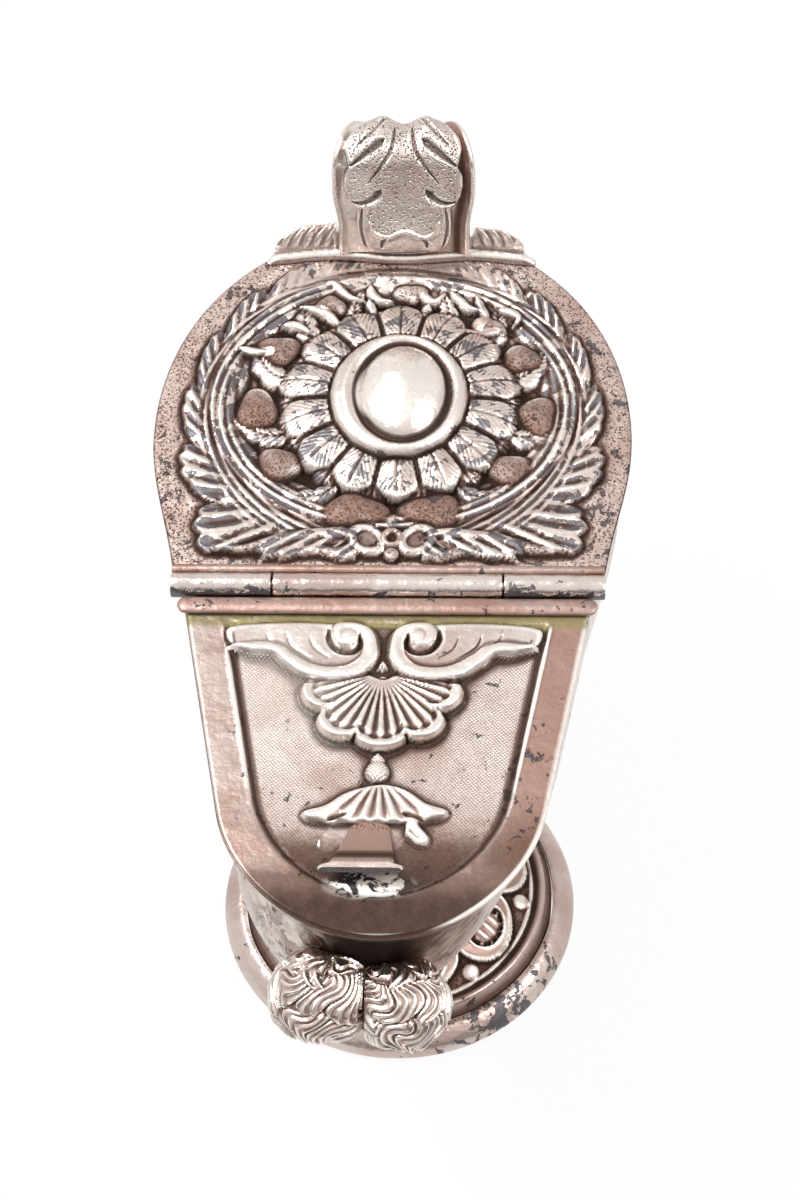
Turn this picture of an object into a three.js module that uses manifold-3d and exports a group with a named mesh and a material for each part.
// A silver incense boat on a round foot: a hinged lid over the prow, a fixed deck over the stern,
// a scroll handle on the stern and two small heads on the prow.
// Millimetres, +Z up, the boat along Y with its prow towards -Y, standing on z = 0.

import * as THREE from 'three';
import * as BufferGeometryUtils from 'three/addons/utils/BufferGeometryUtils.js';
import Module from 'manifold-3d';

const wasm = await Module();
wasm.setup();

// Clearance between two pieces that touch or are soldered together
const SEAM = 0.3;

// Foot
const FOOT_RADIUS = 36;
const BASE_HEIGHT = 6.4;
const BASE_BAND = 4.4;
const DOME_HEIGHT = 24;
const DOME_TOP_RADIUS = 9;
const FOOT_SHEET = 1;

// Stem
const ROD_RADIUS = 2;
const COLLAR_RADIUS = 9.2;
const COLLAR_HEIGHT = 3;
const SHAFT_RADIUS = 5.2;
const SHAFT_HEIGHT = 6;
const KNOP_RADIUS = 10.8;
const KNOP_HEIGHT = 10;
const CALYX_RADIUS = 10;
const CALYX_HEIGHT = 6.6;
const ROD_DISC_RADIUS = 7;
const ROD_DISC_THICKNESS = 0.9;
const WASHER_RADIUS = 6;
const WASHER_THICKNESS = 1;
const NUT_RADIUS = 4.6;
const NUT_HEIGHT = 3;
const ROD_OVERHANG = 1.5;

// Hull
const HULL_DEPTH = 48.4;
const HULL_WALL = 1;
const HULL_SEAT_RADIUS = 8;
const HULL_INSET = 1.4;
const HULL_FULLNESS = 2.6;
const RIM_WIDTH = 2.4;
const RIM_HEIGHT = 1.8;
const RIM_BULGE = 0.35;

// Deck and lid, in plan. The deck rises towards the stern.
const SHEET = 1.2;
const SHEER_DEGREES = 5;
const DECK_FRONT_HALF = 39.6;
const DECK_WIDEST = 38;
const DECK_WIDEST_HALF = 44.8;
const DECK_BACK = 87.5;
const LID_BACK_HALF = 37;
const LID_SHOULDER = -44;
const LID_SHOULDER_HALF = 28.6;
const LID_TIP = -69;
const LID_BORDER = 7.2;
const LID_TIP_BORDER = 8.2;
const LID_PANEL_BACK = -3.4;
const LID_LINE_HEIGHT = 0.6;
const LID_LINE_WIDTH = 1.1;
const LID_PANEL_DEPTH = 0.3;

// Rosette of the deck
const ROSETTE_X = 0.6;
const ROSETTE_Y = 44.9;
const OVAL_Y = 46;
const OVAL_HALF_WIDTH = 33.6;
const OVAL_HALF_LENGTH = 28.8;
const OVAL_HEIGHT = 1.6;
const OVAL_MARGIN = 1.06;
const GROUND_DEPTH = 0.8;
const PETALS = 14;
const POINTS_PER_PETAL = 4;
const PETAL_RADIUS = 24.2;
const PETAL_CROWN = 0.5;
const PETAL_SCALLOP = 1.1;
const DECK_POINTS = PETALS * POINTS_PER_PETAL;
const FOLIAGE_HEIGHT = 0.9;
const FOLIAGE_END = 68;
const FOLIAGE_FADE = 10;
const FOLIAGE_SCALLOP = 0.05;
// Which of the deck's loops, counted from the boss, its smoother underside follows
const UNDERSIDE_LOOPS = [0, 3, 5, 7, 10, 11, 12, 13, 15, 16, 19];
const RING_RADIUS = 13.2;
const BOSS_RADIUS = 9.4;
const RING_HEIGHT = 5.4;
const BOSS_HEIGHT = 7.6;

// Hinge
const HINGE_Y = 4;
const LID_CLEARANCE = 0.7;
const KNUCKLE_RADIUS = 2.3;
const KNUCKLE_BORE = 1.25;
const KNUCKLE_BREAK = 0.25;
const PIN_RADIUS = 1;
const HINGE_HALF = 39.4;
const CENTRE_KNUCKLE_HALF = 20.8;
const BEAD_WIDTH = 2.1;
const BEAD_HEIGHT = 2;
const LEAF_WIDTH = 3.4;
const LEAF_THICKNESS = 1.2;
const LEAF_HALF = 38;

// Thumb piece, set a little off the middle
const THUMB_X = -3;
const THUMB_FROM_TIP = 12;
const THUMB_LENGTH = 10.5;
const THUMB_RISE = 4;
const THUMB_SHEET = 1;
const THUMB_TOP_HALF = 3.9;
const THUMB_LOW_HALF = 6.2;
const FLANGE_HALF = 7.6;
const FLANGE_START = 0.86;

// Handle
const HANDLE_X = 1.9;
const GADROON_HALF = 26.4;
const GADROON_DEPTH = 8.9;
const GADROON_BOW = 0.6;
const GADROON_MARGIN = 0.7;
const GADROON_RISE = 4.6;
const GADROON_PAD = 1;
const GADROON_MOULDING = 1.3;
const GADROON_FLUTES = 12;
const MOULDING_SHARE = 0.26;
const STRAP_FOOT_HALF = 12.3;
const STRAP_HALF = 13.2;
const STRAP_TOP_HALF = 8.4;
const STRAP_SHEET = 1.8;
const STRAP_RIM = 1;
const STRAP_RIM_WIDTH = 1.8;
const STRAP_FOOT_Y = 80.4;
const STRAP_LEAN = 2.4;
const ROLL_TOP = 31;
const ROLL_CENTRE_Y = 90.4;
const ROLL_RADIUS = 4.9;
const LEAF_SHEET = 1.1;
const LEAF_SHAPE = [
  [0, 4.2],
  [0.05, 6.8],
  [0.12, 7.4],
  [0.23, 6],
  [0.29, 10.2],
  [0.4, 10.6],
  [0.47, 9],
  [0.56, 10.4],
  [0.7, 9],
  [0.85, 6.4],
  [1, 5],
];

// Figurehead
const FIGUREHEAD_X = -2.4;
const HEAD_HALF_WIDTH = 8.2;
const HEAD_FORWARD = 2.6;
const HEAD_DROP = 13.8;
const NECK_LENGTH = 12.6;
const BRACKET_DROP = 17;
const BRACKET_HALF = 12.6;
const NECK_RADIUS = 4.2;
const HAIR_DEPTH = 8.2;
const HAIR_HEIGHT = 8;
const FACE_HALF = [5.9, 5.4, 7];
const FACE_OUTWARD = 0.9;
const NOSE_HALF = [1.1, 1.4, 1.8];

// Levels and places that follow from the sizes above
const baseInner = FOOT_RADIUS - BASE_BAND;
const collarBase = DOME_HEIGHT + SEAM;
const shaftBase = collarBase + COLLAR_HEIGHT + SEAM;
const knopBase = shaftBase + SHAFT_HEIGHT + SEAM;
const calyxBase = knopBase + KNOP_HEIGHT + SEAM;
const discBase = calyxBase + CALYX_HEIGHT + SEAM;
const hullBase = discBase + ROD_DISC_THICKNESS + SEAM;
const wallTop = hullBase + HULL_DEPTH;
const rimBase = wallTop + SEAM;
const rimTop = rimBase + RIM_HEIGHT;
const sheetBase = rimTop + SEAM;
const sheetTop = sheetBase + SHEET;
const hingeZ = rimTop + SEAM + KNUCKLE_RADIUS;
const beadFront = HINGE_Y + KNUCKLE_RADIUS + SEAM;
const beadBack = beadFront + BEAD_WIDTH;
const deckFront = beadBack + SEAM;
const lidBack = HINGE_Y - KNUCKLE_RADIUS - LID_CLEARANCE;
const thumbFront = LID_TIP + THUMB_FROM_TIP;
const thumbBack = thumbFront + THUMB_LENGTH;
const headY = LID_TIP - HEAD_FORWARD;
const headZ = rimTop - HEAD_DROP;
const shelfTop = headZ - NECK_LENGTH;

const silver = { color: 0xb9a79b, roughness: 0.36, metalness: 1 };
const polished = { color: 0xd2c5ba, roughness: 0.22, metalness: 1 };
const darkened = { color: 0x8d7768, roughness: 0.5, metalness: 1 };
const iron = { color: 0x6d655f, roughness: 0.6, metalness: 1 };

const boat = new THREE.Group();

function addPiece(name, geometry, look) {
  const mesh = new THREE.Mesh(geometry, new THREE.MeshStandardMaterial(look));
  mesh.name = name;
  boat.add(mesh);
  return mesh;
}

// Rise of the stern deck above the lid's level, at a place along the boat
function sheer(y) {
  return Math.max(0, y - deckFront) * Math.tan(THREE.MathUtils.degToRad(SHEER_DEGREES));
}

function volumeOf(geometry) {
  const p = geometry.getAttribute('position');
  const index = geometry.getIndex();
  const [a, b, c] = [new THREE.Vector3(), new THREE.Vector3(), new THREE.Vector3()];
  let total = 0;
  for (let i = 0; i < index.count; i += 3) {
    a.fromBufferAttribute(p, index.getX(i));
    b.fromBufferAttribute(p, index.getX(i + 1));
    c.fromBufferAttribute(p, index.getX(i + 2));
    total += a.dot(b.cross(c)) / 6;
  }
  return total;
}

// The same body with its faces turned outward
function facingOut(geometry) {
  if (volumeOf(geometry) < 0) {
    const index = geometry.getIndex();
    for (let i = 0; i < index.count; i += 3) {
      const first = index.getX(i);
      index.setX(i, index.getX(i + 1));
      index.setX(i + 1, first);
    }
  }
  geometry.computeVertexNormals();
  return geometry;
}

// A body through rings of points. Its ends are filled, or the last ring joins the first.
function skin(rings, joined = false) {
  const count = rings[0].length;
  const points = rings.flat();
  const index = [];
  const bands = joined ? rings.length : rings.length - 1;
  for (let band = 0; band < bands; band += 1) {
    const next = ((band + 1) % rings.length) * count;
    for (let i = 0; i < count; i += 1) {
      const a = band * count + i;
      const b = band * count + ((i + 1) % count);
      const c = next + i;
      const d = next + ((i + 1) % count);
      index.push(a, b, d, a, d, c);
    }
  }
  if (!joined) {
    const ends = [[0, true], [rings.length - 1, false]];
    for (const [ring, isFirst] of ends) {
      const middle = new THREE.Vector3();
      rings[ring].forEach((point) => middle.addScaledVector(point, 1 / count));
      const hub = points.push(middle) - 1;
      for (let i = 0; i < count; i += 1) {
        const a = ring * count + i;
        const b = ring * count + ((i + 1) % count);
        index.push(...(isFirst ? [hub, b, a] : [hub, a, b]));
      }
    }
  }
  const geometry = new THREE.BufferGeometry().setFromPoints(points);
  geometry.setIndex(index);
  return facingOut(geometry);
}

// A turned body about the Z axis, from a profile of radius and height
function turned(profile, segments = 40) {
  const points = profile.map(([radius, height]) => new THREE.Vector2(radius, height));
  points.push(points[0].clone());
  const lathe = new THREE.LatheGeometry(points, segments);
  lathe.rotateX(Math.PI / 2);
  return welded(lathe);
}

function welded(geometry) {
  const bare = geometry.clone();
  bare.deleteAttribute('normal');
  bare.deleteAttribute('uv');
  return facingOut(BufferGeometryUtils.mergeVertices(bare, 1e-4));
}

function toSolid(geometry) {
  const bare = welded(geometry);
  return new wasm.Manifold(new wasm.Mesh({
    numProp: 3,
    vertProperties: new Float32Array(bare.getAttribute('position').array),
    triVerts: new Uint32Array(bare.getIndex().array),
  }));
}

function toGeometry(solid) {
  const mesh = solid.getMesh();
  const geometry = new THREE.BufferGeometry();
  geometry.setAttribute('position', new THREE.BufferAttribute(new Float32Array(mesh.vertProperties), 3));
  geometry.setIndex(new THREE.BufferAttribute(new Uint32Array(mesh.triVerts), 1));
  return facingOut(geometry);
}

function ball(radiusX, radiusY, radiusZ, x, y, z, columns = 14, rows = 10) {
  const geometry = new THREE.SphereGeometry(1, columns, rows);
  geometry.scale(radiusX, radiusY, radiusZ);
  geometry.rotateX(Math.PI / 2);
  geometry.translate(x, y, z);
  return geometry;
}

// Plan outlines, as closed loops of points running anticlockwise seen from above

function bezier(...coordinates) {
  const points = [];
  for (let i = 0; i < coordinates.length; i += 2) {
    points.push(new THREE.Vector2(coordinates[i], coordinates[i + 1]));
  }
  return new THREE.CubicBezierCurve(...points);
}

// Points of a half outline on the +X side, and their mirror images in reverse
function bothSides(curves, counts) {
  const right = [];
  curves.forEach((curve, i) => {
    const points = curve.getPoints(counts[i]);
    right.push(...(i === 0 ? points : points.slice(1)));
  });
  const onAxis = (point) => Math.abs(point.x) < 1e-6;
  const left = right.filter((point) => !onAxis(point)).map((point) => new THREE.Vector2(-point.x, point.y));
  return [...right, ...left.reverse()];
}

// Curve from the widest place of the boat round to the middle of its back edge
function sternCurve(widestHalf, widest, back) {
  const reach = back - widest;
  return bezier(widestHalf, widest, widestHalf, widest + reach * 0.6, widestHalf * 0.54, back, 0, back);
}

// Curve from the shoulder round to the tip of the prow
function prowCurve(shoulderHalf, shoulder, tip, slope) {
  const reach = shoulder - tip;
  const turn = shoulder - reach * 0.5;
  const turnHalf = shoulderHalf - slope * reach * 0.5;
  return bezier(0, tip, shoulderHalf * 0.5, tip, turnHalf, turn, shoulderHalf, shoulder);
}

function straight(x0, y0, x1, y1) {
  return new THREE.LineCurve(new THREE.Vector2(x0, y0), new THREE.Vector2(x1, y1));
}

// Outline of the lid or of a loop inside it, its border laid in from the edge
function lidOutline(border, back) {
  const slope = (LID_BACK_HALF - LID_SHOULDER_HALF) / (lidBack - LID_SHOULDER);
  const backHalf = LID_BACK_HALF - slope * (lidBack - back) - border;
  const shoulderHalf = LID_SHOULDER_HALF - border + slope * border * 0.5;
  const shoulder = LID_SHOULDER + border * 0.4;
  const curves = [
    prowCurve(shoulderHalf, shoulder, LID_TIP + border * (LID_TIP_BORDER / LID_BORDER), slope),
    straight(shoulderHalf, shoulder, backHalf, back),
    straight(backHalf, back, 0, back),
  ];
  return bothSides(curves, [10, 5, 4]);
}

function deckOutline(inset = 0) {
  const front = deckFront + inset;
  const frontHalf = DECK_FRONT_HALF - inset;
  const half = DECK_WIDEST_HALF - inset;
  const curves = [
    straight(0, front, frontHalf, front),
    bezier(frontHalf, front, frontHalf + 2, front + 12, half, DECK_WIDEST - 10, half, DECK_WIDEST),
    sternCurve(half, DECK_WIDEST, DECK_BACK - inset),
  ];
  return bothSides(curves, [7, 5, DECK_POINTS / 2 - 12]);
}

// Outline of the hull's edge, set in from the deck and the lid above it
function hullOutline(inset) {
  const half = DECK_WIDEST_HALF - inset;
  const waistHalf = LID_BACK_HALF + 0.8 - inset;
  const waist = HINGE_Y;
  const shoulderHalf = LID_SHOULDER_HALF - inset;
  const slope = (waistHalf - shoulderHalf) / (waist - LID_SHOULDER);
  const curves = [
    prowCurve(shoulderHalf, LID_SHOULDER, LID_TIP + inset, slope),
    straight(shoulderHalf, LID_SHOULDER, waistHalf, waist),
    bezier(waistHalf, waist, waistHalf + 2, waist + 12, half, DECK_WIDEST - 12, half, DECK_WIDEST),
    sternCurve(half, DECK_WIDEST, DECK_BACK - inset),
  ];
  return bothSides(curves, [8, 5, 5, 10]);
}

// Rings that run from the seat on the stem out and up to the edge of the hull
function hullRings(inset, base, seatRadius, steps) {
  const edge = hullOutline(inset);
  const rings = [];
  for (let step = 0; step <= steps; step += 1) {
    const turn = (step / steps) * (Math.PI / 2);
    const lift = 1 - Math.cos(turn);
    const reach = (1 - Math.cos(turn) ** HULL_FULLNESS) ** (1 / HULL_FULLNESS);
    rings.push(edge.map((point) => {
      const seat = point.clone().setLength(seatRadius);
      const plan = seat.lerp(point, reach);
      const top = wallTop + sheer(point.y);
      return new THREE.Vector3(plan.x, plan.y, base + lift * (top - base));
    }));
  }
  return rings;
}

function makeHull() {
  const outside = hullRings(HULL_INSET, hullBase, HULL_SEAT_RADIUS, 10);
  const inside = hullRings(HULL_INSET + HULL_WALL, hullBase + HULL_WALL, HULL_SEAT_RADIUS, 7);
  return skin([...outside, ...inside.reverse()]);
}

function makeHullRim() {
  const outer = hullOutline(HULL_INSET + HULL_WALL / 2 - RIM_WIDTH / 2);
  const inner = hullOutline(HULL_INSET + HULL_WALL / 2 + RIM_WIDTH / 2);
  const middle = hullOutline(HULL_INSET + HULL_WALL / 2 - RIM_WIDTH / 2 - RIM_BULGE);
  const level = (loop, height) => loop.map((point) => new THREE.Vector3(
    point.x,
    point.y,
    height + sheer(point.y),
  ));
  const rings = [
    level(inner, rimBase),
    level(outer, rimBase),
    level(middle, (rimBase + rimTop) / 2),
    level(outer, rimTop),
    level(inner, rimTop),
  ];
  return skin(rings, true);
}

// Relief of the stern deck, as loops round the rosette from its boss out to the deck's edge
function deckLoops() {
  const edge = deckOutline();
  const rosette = new THREE.Vector2(ROSETTE_X, ROSETTE_Y);
  const ovalCentre = new THREE.Vector2(0, OVAL_Y);
  const rays = edge.map((point, i) => {
    const turn = (i / edge.length) * 2 * Math.PI - Math.PI / 2;
    return new THREE.Vector2(Math.cos(turn), Math.sin(turn));
  });
  const crest = edge.map((point, i) => Math.cos((i / edge.length) * 2 * Math.PI * PETALS));
  const at = (plan, height) => new THREE.Vector3(plan.x, plan.y, height);
  const round = (radius, height, scallop = 0, crown = 0) => rays.map((ray, i) => {
    const plan = ray.clone().multiplyScalar(radius + scallop * crest[i]).add(rosette);
    return at(plan, height + crown * crest[i]);
  });
  const ovalPoint = (ray, scale) => {
    const stretch = Math.hypot(ray.x / OVAL_HALF_WIDTH, ray.y / OVAL_HALF_LENGTH);
    return ray.clone().multiplyScalar(scale / stretch).add(ovalCentre);
  };
  const oval = (scale, height) => rays.map((ray) => at(ovalPoint(ray, scale), height));
  // The leaves outside the oval end where the deck is plain, at the stern
  const foliage = (share, height) => rays.map((ray, i) => {
    const plan = ovalPoint(ray, OVAL_MARGIN).lerp(edge[i], share - FOLIAGE_SCALLOP * (i % 2));
    const fade = THREE.MathUtils.clamp((FOLIAGE_END - plan.y) / FOLIAGE_FADE, 0, 1);
    return at(plan, height * fade);
  });
  const ringMiddle = (BOSS_RADIUS + RING_RADIUS) / 2;
  const petalReach = PETAL_RADIUS - RING_RADIUS;
  return [
    round(BOSS_RADIUS * 0.35, BOSS_HEIGHT),
    round(BOSS_RADIUS * 0.7, BOSS_HEIGHT - 0.7),
    round(BOSS_RADIUS * 0.93, BOSS_HEIGHT - 1.8),
    round(BOSS_RADIUS, RING_HEIGHT - 1),
    round(ringMiddle - 0.6, RING_HEIGHT - 0.8),
    round(ringMiddle + 0.4, RING_HEIGHT),
    round(RING_RADIUS - 0.4, RING_HEIGHT - 0.1),
    round(RING_RADIUS + 0.4, RING_HEIGHT - 1.1),
    round(RING_RADIUS + petalReach * 0.34, RING_HEIGHT * 0.57, 0, PETAL_CROWN),
    round(RING_RADIUS + petalReach * 0.66, RING_HEIGHT * 0.32, 0, PETAL_CROWN),
    round(PETAL_RADIUS - PETAL_SCALLOP, RING_HEIGHT * 0.15, PETAL_SCALLOP, PETAL_CROWN / 2),
    round(PETAL_RADIUS - PETAL_SCALLOP + 0.9, -GROUND_DEPTH, PETAL_SCALLOP),
    oval(0.92, -GROUND_DEPTH),
    oval(0.97, OVAL_HEIGHT * 0.7),
    oval(1, OVAL_HEIGHT),
    oval(1.03, OVAL_HEIGHT * 0.7),
    foliage(0.06, FOLIAGE_HEIGHT * 0.5),
    foliage(0.42, FOLIAGE_HEIGHT),
    foliage(0.62, 0),
    edge.map((point) => at(point, 0)),
  ];
}

function makeSternDeck() {
  const loops = deckLoops();
  const face = (rings, offset) => rings.map((ring) => ring.map((point) => new THREE.Vector3(
    point.x,
    point.y,
    sheetTop + sheer(point.y) + point.z + offset,
  )));
  const under = loops.filter((loop, i) => UNDERSIDE_LOOPS.includes(i));
  return skin([...face(under, -SHEET), ...face([...loops].reverse(), 0)]);
}

function makeLid() {
  const level = (loop, height) => loop.map((point) => new THREE.Vector3(point.x, point.y, height));
  const edge = lidOutline(0, lidBack);
  const lineOut = lidOutline(LID_BORDER - LID_LINE_WIDTH, LID_PANEL_BACK);
  const line = lidOutline(LID_BORDER - LID_LINE_WIDTH / 2, LID_PANEL_BACK - LID_LINE_WIDTH / 2);
  const panel = lidOutline(LID_BORDER + 0.4, LID_PANEL_BACK - LID_LINE_WIDTH);
  return skin([
    level(panel, sheetBase - LID_PANEL_DEPTH / 2),
    level(lineOut, sheetBase),
    level(edge, sheetBase),
    level(edge, sheetTop),
    level(lineOut, sheetTop),
    level(line, sheetTop + LID_LINE_HEIGHT),
    level(panel, sheetTop - LID_PANEL_DEPTH),
  ]);
}

function makeBaseRing() {
  return turned([
    [baseInner, 0],
    [FOOT_RADIUS - 1.3, 0],
    [FOOT_RADIUS - 0.3, 0.9],
    [FOOT_RADIUS, BASE_HEIGHT * 0.4],
    [FOOT_RADIUS - 0.6, BASE_HEIGHT * 0.65],
    [FOOT_RADIUS - 2.2, BASE_HEIGHT * 0.88],
    [FOOT_RADIUS - BASE_BAND * 0.77, BASE_HEIGHT],
    [baseInner, BASE_HEIGHT],
  ]);
}

function makeFootDome() {
  const edge = baseInner - SEAM;
  const outside = [
    [edge, BASE_HEIGHT - 3],
    [edge, BASE_HEIGHT - 0.5],
    [edge - 0.9, BASE_HEIGHT + 0.1],
    [edge - 1.4, BASE_HEIGHT + 1.7],
    [edge - 2.2, BASE_HEIGHT + 2.2],
    [edge - 3.1, BASE_HEIGHT + 1.6],
    [edge - 5, BASE_HEIGHT + 1.9],
    [edge * 0.62, BASE_HEIGHT + 5],
    [DOME_TOP_RADIUS * 1.45, DOME_HEIGHT * 0.66],
    [DOME_TOP_RADIUS * 1.1, DOME_HEIGHT * 0.86],
    [DOME_TOP_RADIUS, DOME_HEIGHT],
  ];
  const inside = [
    [ROD_RADIUS + SEAM, DOME_HEIGHT],
    [ROD_RADIUS + SEAM, DOME_HEIGHT - FOOT_SHEET],
    [DOME_TOP_RADIUS - FOOT_SHEET, DOME_HEIGHT - FOOT_SHEET],
    [DOME_TOP_RADIUS * 1.1 - FOOT_SHEET, DOME_HEIGHT * 0.86 - FOOT_SHEET],
    [DOME_TOP_RADIUS * 1.45 - FOOT_SHEET, DOME_HEIGHT * 0.66 - FOOT_SHEET],
    [edge * 0.62 - FOOT_SHEET * 0.6, BASE_HEIGHT + 5 - FOOT_SHEET],
    [edge - 5, BASE_HEIGHT + 1.9 - FOOT_SHEET],
    [edge - 1.9, BASE_HEIGHT + 0.6 - FOOT_SHEET],
    [edge - FOOT_SHEET, BASE_HEIGHT - 0.8 - FOOT_SHEET],
    [edge - FOOT_SHEET, BASE_HEIGHT - 3],
  ];
  return turned([...outside, ...inside]);
}

// A turned ring or sleeve round the rod, from its bored inner side and an outer profile
function sleeve(base, height, profile, segments = 26) {
  const bore = ROD_RADIUS + SEAM;
  const outside = profile.map(([radius, share]) => [radius, base + height * share]);
  return turned([[bore, base], ...outside, [bore, base + height]], segments);
}

function makeStem() {
  addPiece('stem_collar', sleeve(collarBase, COLLAR_HEIGHT, [
    [COLLAR_RADIUS - 0.6, 0],
    [COLLAR_RADIUS, 0.3],
    [COLLAR_RADIUS - 0.5, 0.62],
    [SHAFT_RADIUS + 1.6, 1],
  ]), polished);
  addPiece('stem_shaft', sleeve(shaftBase, SHAFT_HEIGHT, [
    [SHAFT_RADIUS + 1.4, 0],
    [SHAFT_RADIUS, 0.25],
    [SHAFT_RADIUS - 0.8, 0.55],
    [SHAFT_RADIUS - 0.2, 0.8],
    [SHAFT_RADIUS + 1, 1],
  ]), silver);
  addPiece('stem_knop', sleeve(knopBase, KNOP_HEIGHT, [
    [SHAFT_RADIUS + 0.8, 0],
    [KNOP_RADIUS * 0.8, 0.16],
    [KNOP_RADIUS * 0.97, 0.38],
    [KNOP_RADIUS, 0.55],
    [KNOP_RADIUS * 0.9, 0.74],
    [KNOP_RADIUS * 0.66, 0.9],
    [SHAFT_RADIUS, 1],
  ]), polished);
  addPiece('stem_calyx', sleeve(calyxBase, CALYX_HEIGHT, [
    [SHAFT_RADIUS - 0.2, 0],
    [SHAFT_RADIUS - 0.6, 0.25],
    [CALYX_RADIUS * 0.66, 0.55],
    [CALYX_RADIUS * 0.95, 0.85],
    [CALYX_RADIUS, 1],
  ]), silver);
}

function makeRod() {
  const top = discBase + ROD_DISC_THICKNESS;
  const low = DOME_HEIGHT - FOOT_SHEET - SEAM - WASHER_THICKNESS - SEAM - NUT_HEIGHT - ROD_OVERHANG;
  return welded(new THREE.LatheGeometry([
    [0, low],
    [ROD_RADIUS * 0.7, low],
    [ROD_RADIUS, low + 0.6],
    [ROD_RADIUS, discBase],
    [ROD_DISC_RADIUS, discBase],
    [ROD_DISC_RADIUS, top],
    [0, top],
  ].map(([radius, height]) => new THREE.Vector2(radius, height)), 20).rotateX(Math.PI / 2));
}

function makeWasher() {
  const base = DOME_HEIGHT - FOOT_SHEET - SEAM - WASHER_THICKNESS;
  return sleeve(base, WASHER_THICKNESS, [[WASHER_RADIUS, 0], [WASHER_RADIUS, 1]], 20);
}

function makeNut() {
  const base = DOME_HEIGHT - FOOT_SHEET - SEAM - WASHER_THICKNESS - SEAM - NUT_HEIGHT;
  const shape = new THREE.Shape();
  for (let corner = 0; corner < 4; corner += 1) {
    const turn = (corner / 4) * 2 * Math.PI;
    const go = corner === 0 ? 'moveTo' : 'lineTo';
    shape[go](NUT_RADIUS * Math.cos(turn), NUT_RADIUS * Math.sin(turn));
  }
  shape.closePath();
  shape.holes.push(new THREE.Path().absarc(0, 0, ROD_RADIUS + SEAM, 0, 2 * Math.PI, true));
  const options = { depth: NUT_HEIGHT, bevelEnabled: false, curveSegments: 16 };
  const nut = new THREE.ExtrudeGeometry(shape, options);
  nut.translate(0, 0, base);
  return welded(nut);
}

// A tube along X about the hinge axis
function knuckle(from, to) {
  const tube = turned([
    [KNUCKLE_BORE, from],
    [KNUCKLE_RADIUS - KNUCKLE_BREAK, from],
    [KNUCKLE_RADIUS, from + KNUCKLE_BREAK],
    [KNUCKLE_RADIUS, to - KNUCKLE_BREAK],
    [KNUCKLE_RADIUS - KNUCKLE_BREAK, to],
    [KNUCKLE_BORE, to],
  ], 20);
  return acrossBoat(tube);
}

function acrossBoat(geometry) {
  geometry.rotateY(Math.PI / 2);
  geometry.translate(0, HINGE_Y, hingeZ);
  return geometry;
}

function makePin() {
  const half = HINGE_HALF - 0.2;
  const pin = new THREE.LatheGeometry([
    [0, -half],
    [PIN_RADIUS * 0.7, -half],
    [PIN_RADIUS, -half + 0.4],
    [PIN_RADIUS, half - 0.4],
    [PIN_RADIUS * 0.7, half],
    [0, half],
  ].map(([radius, height]) => new THREE.Vector2(radius, height)), 14).rotateX(Math.PI / 2);
  return acrossBoat(welded(pin));
}

// A bar along X, from its section in Y and Z
function bar(section, half) {
  const left = section.map(([y, z]) => new THREE.Vector3(-half, y, z));
  const right = section.map(([y, z]) => new THREE.Vector3(half, y, z));
  return skin([left, right]);
}

function makeBead() {
  return bar([
    [beadFront, sheetBase],
    [beadBack, sheetBase],
    [beadBack, sheetTop + BEAD_HEIGHT * 0.6],
    [beadBack - BEAD_WIDTH * 0.3, sheetTop + BEAD_HEIGHT],
    [beadFront + BEAD_WIDTH * 0.3, sheetTop + BEAD_HEIGHT],
    [beadFront, sheetTop + BEAD_HEIGHT * 0.6],
  ], HINGE_HALF);
}

function makeHingeLeaf() {
  const base = sheetTop + SEAM;
  const top = base + LEAF_THICKNESS;
  const back = HINGE_Y - KNUCKLE_RADIUS - SEAM;
  const front = back - LEAF_WIDTH;
  return bar([
    [front, base],
    [back, base],
    [back, top - 0.3],
    [back - 0.5, top],
    [front + 0.7, top],
    [front, top - 0.5],
  ], LEAF_HALF);
}

// A sheet bent along a path in the YZ plane, its half width and crown set along the path
function bentSheet(path, steps, sheet, halfWidth, columns = 4) {
  const rings = [];
  for (let step = 0; step <= steps; step += 1) {
    const t = step / steps;
    const at = path.getPointAt(t);
    const along = path.getTangentAt(t);
    const out = new THREE.Vector2(-along.y, along.x);
    const ring = [];
    const half = halfWidth(t);
    for (const side of [1, -1]) {
      for (let column = 0; column <= columns; column += 1) {
        const across = side * (1 - (2 * column) / columns);
        const lift = side * (sheet / 2);
        ring.push(new THREE.Vector3(across * half, at.x + out.x * lift, at.y + out.y * lift));
      }
    }
    rings.push(ring);
  }
  return skin(rings);
}

function makeThumbPiece() {
  const base = sheetTop - LID_PANEL_DEPTH + SEAM + THUMB_SHEET / 2;
  const run = thumbBack - thumbFront;
  const path = new THREE.CubicBezierCurve(
    new THREE.Vector2(thumbBack, base),
    new THREE.Vector2(thumbBack - run * 0.45, base),
    new THREE.Vector2(thumbBack - run * 0.7, base + THUMB_RISE * 0.3),
    new THREE.Vector2(thumbFront, base + THUMB_RISE),
  );
  return bentSheet(path, 10, THUMB_SHEET, (t) => {
    if (t >= FLANGE_START) return FLANGE_HALF - (t - FLANGE_START) * 6;
    return THUMB_TOP_HALF + (THUMB_LOW_HALF - THUMB_TOP_HALF) * (t / FLANGE_START);
  }, 2).translate(THUMB_X, 0, 0);
}

// Y of the back edge of the deck at a distance from the middle of the boat
function deckBackAt(x) {
  const curve = sternCurve(DECK_WIDEST_HALF, DECK_WIDEST, DECK_BACK);
  let low = 0;
  let high = 1;
  for (let i = 0; i < 30; i += 1) {
    const middle = (low + high) / 2;
    if (curve.getPoint(middle).x > Math.abs(x)) low = middle;
    else high = middle;
  }
  return curve.getPoint(low).y;
}

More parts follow.
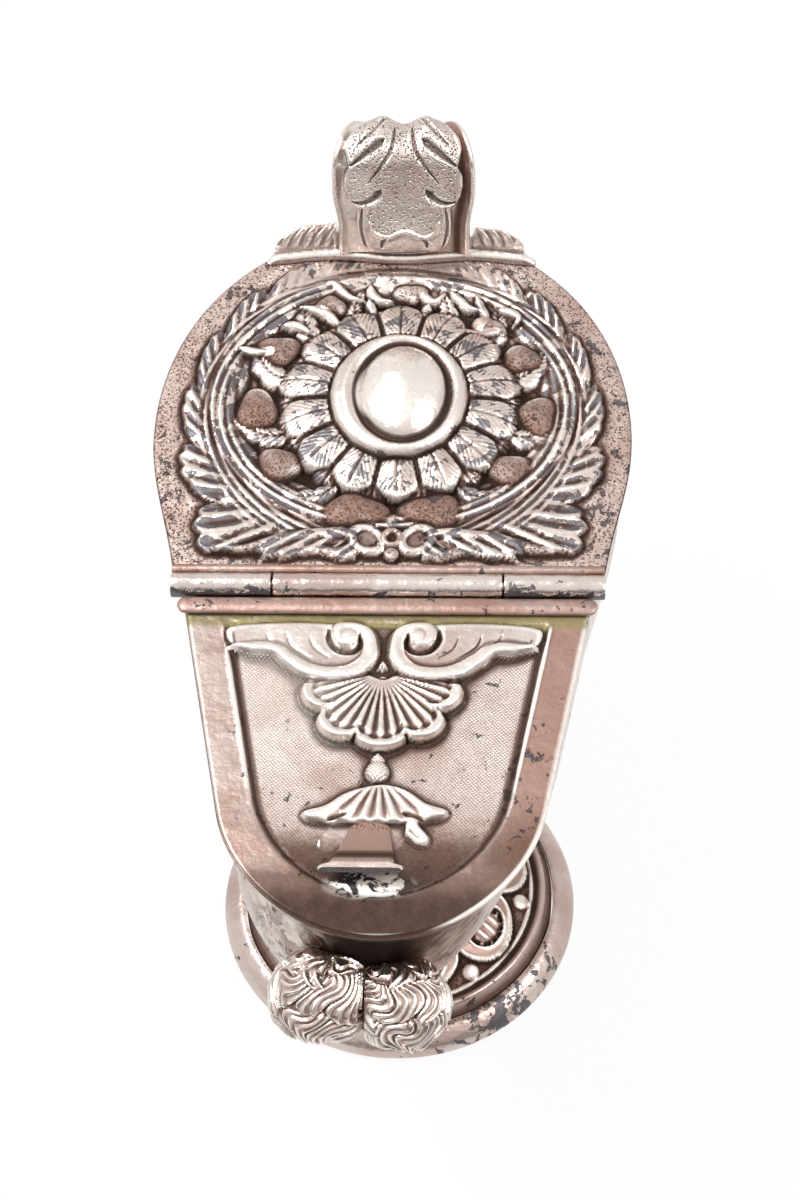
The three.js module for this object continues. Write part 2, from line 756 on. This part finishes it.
// Height of the handle's base above the deck: a moulding in front, fluted shoulders beside the strap
// and a low pad under it
function gadroonHeight(x, v) {
  if (v < MOULDING_SHARE) {
    const share = Math.abs(v / MOULDING_SHARE - 0.5) * 2;
    return GADROON_MOULDING * (share < 1 ? 1 : 0.45);
  }
  const beside = Math.abs(x) - STRAP_FOOT_HALF - SEAM;
  if (beside <= 0) return GADROON_PAD;
  const outward = beside / (GADROON_HALF - STRAP_FOOT_HALF - SEAM);
  const shoulder = Math.cos(outward * Math.PI * 0.5) ** 0.5;
  const swell = Math.sin((0.18 + 0.54 * v) * Math.PI) ** 0.8;
  const flute = Math.abs(Math.sin(outward * GADROON_FLUTES * Math.PI * 0.5));
  const rise = (GADROON_RISE - GADROON_PAD) * shoulder * swell * (0.8 + 0.2 * flute);
  return GADROON_PAD * 0.7 + rise * Math.min(1, beside / GADROON_MARGIN);
}

function makeGadroonBase() {
  const shares = [0, MOULDING_SHARE * 0.5, MOULDING_SHARE, 0.36, 0.55, 0.8, 1];
  const right = [0, STRAP_FOOT_HALF + SEAM, STRAP_FOOT_HALF + SEAM + GADROON_MARGIN];
  const steps = 14;
  for (let step = 1; step <= steps; step += 1) {
    right.push(right[2] + (GADROON_HALF - right[2]) * (step / steps));
  }
  const across = [...right.slice(1).reverse().map((x) => -x), ...right];
  const rings = across.map((x) => {
    const u = x / GADROON_HALF;
    const front = DECK_BACK - GADROON_DEPTH - GADROON_BOW * (1 - u * u);
    const back = deckBackAt(x + HANDLE_X) - GADROON_MARGIN;
    const ring = shares.map((v) => {
      const y = front + (back - front) * v;
      return new THREE.Vector3(x, y, sheetTop + SEAM + sheer(y) + gadroonHeight(x, v));
    });
    for (const y of [back, front]) {
      ring.push(new THREE.Vector3(x, y, sheetTop + SEAM + sheer(y)));
    }
    return ring;
  });
  return skin(rings).translate(HANDLE_X, 0, 0);
}

// Path of the handle's strap: up and back from its pad, then rolled over and under
function handlePath(offset) {
  const foot = sheetTop + SEAM + sheer(STRAP_FOOT_Y) + GADROON_PAD + SEAM * 2;
  const centreZ = sheetTop + ROLL_TOP - ROLL_RADIUS;
  const radius = ROLL_RADIUS + offset;
  const points = [0, 0.32, 0.68].map((share) => new THREE.Vector2(
    STRAP_FOOT_Y + STRAP_LEAN * share * (1 + share) - offset,
    foot + (centreZ - 2 - foot) * share + offset * 0.25 * (1 - share),
  ));
  const turns = 8;
  for (let step = 0; step <= turns; step += 1) {
    const turn = Math.PI - (step / turns) * Math.PI * 1.25;
    const tighten = 1 - 0.04 * step;
    points.push(new THREE.Vector2(
      ROLL_CENTRE_Y + radius * tighten * Math.cos(turn),
      centreZ + radius * tighten * Math.sin(turn),
    ));
  }
  return new THREE.SplineCurve(points);
}

// Half width of the strap: fullest at mid height, narrow with rounded corners over the roll
function strapHalf(t) {
  const rise = THREE.MathUtils.smoothstep(t, 0.12, 0.34);
  const fall = THREE.MathUtils.smoothstep(t, 0.5, 0.78);
  const full = STRAP_FOOT_HALF + (STRAP_HALF - STRAP_FOOT_HALF) * rise;
  return full + (STRAP_TOP_HALF - full) * fall;
}

function makeHandleScroll() {
  const path = handlePath(0);
  const steps = 22;
  const face = STRAP_SHEET / 2;
  const rings = [];
  for (let step = 0; step <= steps; step += 1) {
    const t = step / steps;
    const at = path.getPointAt(t);
    const along = path.getTangentAt(t);
    const out = new THREE.Vector2(-along.y, along.x);
    const half = strapHalf(t);
    const section = [
      [half, face + STRAP_RIM],
      [half - STRAP_RIM_WIDTH, face + STRAP_RIM],
      [half - STRAP_RIM_WIDTH, face],
      [-half + STRAP_RIM_WIDTH, face],
      [-half + STRAP_RIM_WIDTH, face + STRAP_RIM],
      [-half, face + STRAP_RIM],
      [-half, -face],
      [half, -face],
    ];
    rings.push(section.map(([x, lift]) => new THREE.Vector3(
      x,
      at.x + out.x * lift,
      at.y + out.y * lift,
    )));
  }
  return skin(rings).translate(HANDLE_X, 0, 0);
}

// Half width of the leaf on the handle: a blunt tip below, then two pairs of side lobes
function leafHalf(t) {
  const shape = LEAF_SHAPE.findIndex(([share]) => share >= t);
  const [share, half] = LEAF_SHAPE[Math.max(1, shape)];
  const [lastShare, lastHalf] = LEAF_SHAPE[Math.max(1, shape) - 1];
  return lastHalf + (half - lastHalf) * ((t - lastShare) / (share - lastShare));
}

function makeHandleLeaf() {
  const whole = handlePath(STRAP_SHEET / 2 + SEAM * 1.5 + LEAF_SHEET / 2);
  const points = whole.getSpacedPoints(60).slice(2, 37);
  return bentSheet(new THREE.SplineCurve(points), 26, LEAF_SHEET, leafHalf).translate(HANDLE_X, 0, 0);
}

// The space of the hull with a seam round it, to cut what is soldered to its outside
function hullEnvelope() {
  return toSolid(skin(hullRings(HULL_INSET - SEAM, hullBase - SEAM, HULL_SEAT_RADIUS, 24)));
}

function makeBracket(envelope) {
  const back = LID_TIP + 14;
  const levels = [
    [0, BRACKET_HALF * 0.34, LID_TIP + 9],
    [0.35, BRACKET_HALF * 0.46, LID_TIP + 4],
    [0.65, BRACKET_HALF * 0.66, headY + 1],
    [0.85, BRACKET_HALF * 0.9, headY - 3.4],
    [1, BRACKET_HALF, headY - 4.6],
  ];
  const low = shelfTop - BRACKET_DROP;
  const rings = levels.map(([share, half, front]) => {
    const z = low + (shelfTop - low) * share;
    const ring = [];
    for (let step = 0; step <= 10; step += 1) {
      const turn = Math.PI + (step / 10) * Math.PI;
      const depth = back - front;
      ring.push(new THREE.Vector3(half * Math.cos(turn), back + depth * Math.sin(turn), z));
    }
    return ring;
  });
  return toGeometry(toSolid(skin(rings).translate(FIGUREHEAD_X, 0, 0)).subtract(envelope));
}

// A head with its hair: skull, hair at the back, face, chin and neck, melted into one
function makeHead(side, envelope) {
  const x = side * (HEAD_HALF_WIDTH + SEAM / 2);
  const outward = side * FACE_OUTWARD;
  const neckTop = headZ - 3;
  const neckBase = shelfTop + SEAM;
  const neck = new THREE.CylinderGeometry(NECK_RADIUS * 0.86, NECK_RADIUS, neckTop - neckBase, 16);
  neck.rotateX(Math.PI / 2);
  neck.translate(x + side * 0.6, headY + 1.2, (neckTop + neckBase) / 2);
  const hair = toSolid(ball(HEAD_HALF_WIDTH, HAIR_DEPTH, HAIR_HEIGHT, x, headY + 0.6, headZ));
  const face = toSolid(ball(...FACE_HALF, x + outward, headY - 2.6, headZ - 2.2));
  const nose = toSolid(ball(...NOSE_HALF, x + outward * 1.7, headY - 7.7, headZ - 3, 8, 6));
  const half = toSolid(new THREE.BoxGeometry(40, 60, 60).translate(side * (20 + SEAM / 2), headY, headZ));
  const whole = hair.add(face).add(nose).add(toSolid(neck)).intersect(half);
  return toGeometry(whole.translate([FIGUREHEAD_X, 0, 0]).subtract(envelope));
}

addPiece('base_ring', makeBaseRing(), silver);
addPiece('foot_dome', makeFootDome(), silver);
makeStem();
addPiece('stem_rod', makeRod(), iron);
addPiece('rod_washer', makeWasher(), iron);
addPiece('rod_nut', makeNut(), iron);
addPiece('hull', makeHull(), silver);
addPiece('hull_rim', makeHullRim(), silver);
addPiece('stern_deck', makeSternDeck(), silver);
addPiece('stern_bead', makeBead(), darkened);
addPiece('hinge_knuckle_left', knuckle(-HINGE_HALF, -CENTRE_KNUCKLE_HALF - SEAM), polished);
addPiece('hinge_knuckle_centre', knuckle(-CENTRE_KNUCKLE_HALF, CENTRE_KNUCKLE_HALF), polished);
addPiece('hinge_knuckle_right', knuckle(CENTRE_KNUCKLE_HALF + SEAM, HINGE_HALF), polished);
addPiece('hinge_pin', makePin(), iron);
addPiece('lid_hinge_leaf', makeHingeLeaf(), darkened);
addPiece('lid', makeLid(), silver);
addPiece('thumb_piece', makeThumbPiece(), polished);
addPiece('gadroon_base', makeGadroonBase(), darkened);
addPiece('handle_scroll', makeHandleScroll(), darkened);
addPiece('handle_leaf', makeHandleLeaf(), polished);
const envelope = hullEnvelope();
addPiece('figurehead_bracket', makeBracket(envelope), darkened);
addPiece('cherub_left', makeHead(-1, envelope), polished);
addPiece('cherub_right', makeHead(1, envelope), polished);

// The origin lies under the middle of the boat's overall length
const bounds = new THREE.Box3().setFromObject(boat);
boat.position.y = -(bounds.min.y + bounds.max.y) / 2;

export default boat;
